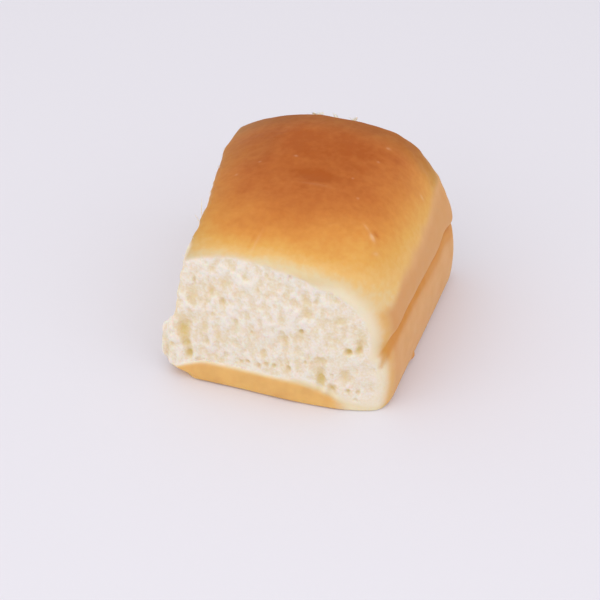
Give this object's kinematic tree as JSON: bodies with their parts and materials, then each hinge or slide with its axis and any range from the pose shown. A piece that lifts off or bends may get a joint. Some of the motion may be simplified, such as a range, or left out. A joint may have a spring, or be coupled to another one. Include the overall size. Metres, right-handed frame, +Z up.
{
  "type": "bread roll",
  "caption": "Soft white pull-apart bread roll with a domed golden-brown crust, a fold along one baked side and torn crumb on the other three.",
  "frame": {"origin": "under the middle of the roll's bounding box, on the surface that the roll stands on", "axes": "+Z up; -Y the torn front face with the low band of crust under it; +X the baked side with the fold; -X and +Y the other torn faces"},
  "size_m": [0.066, 0.0692, 0.0483],
  "materials": {
    "bread": "soft baked crust, satin on the dome and matte on the side, with cream white open crumb where it is torn"
  },
  "bodies": {
    "root": {"bread_roll": "bread"}
  },
  "joints": []
}
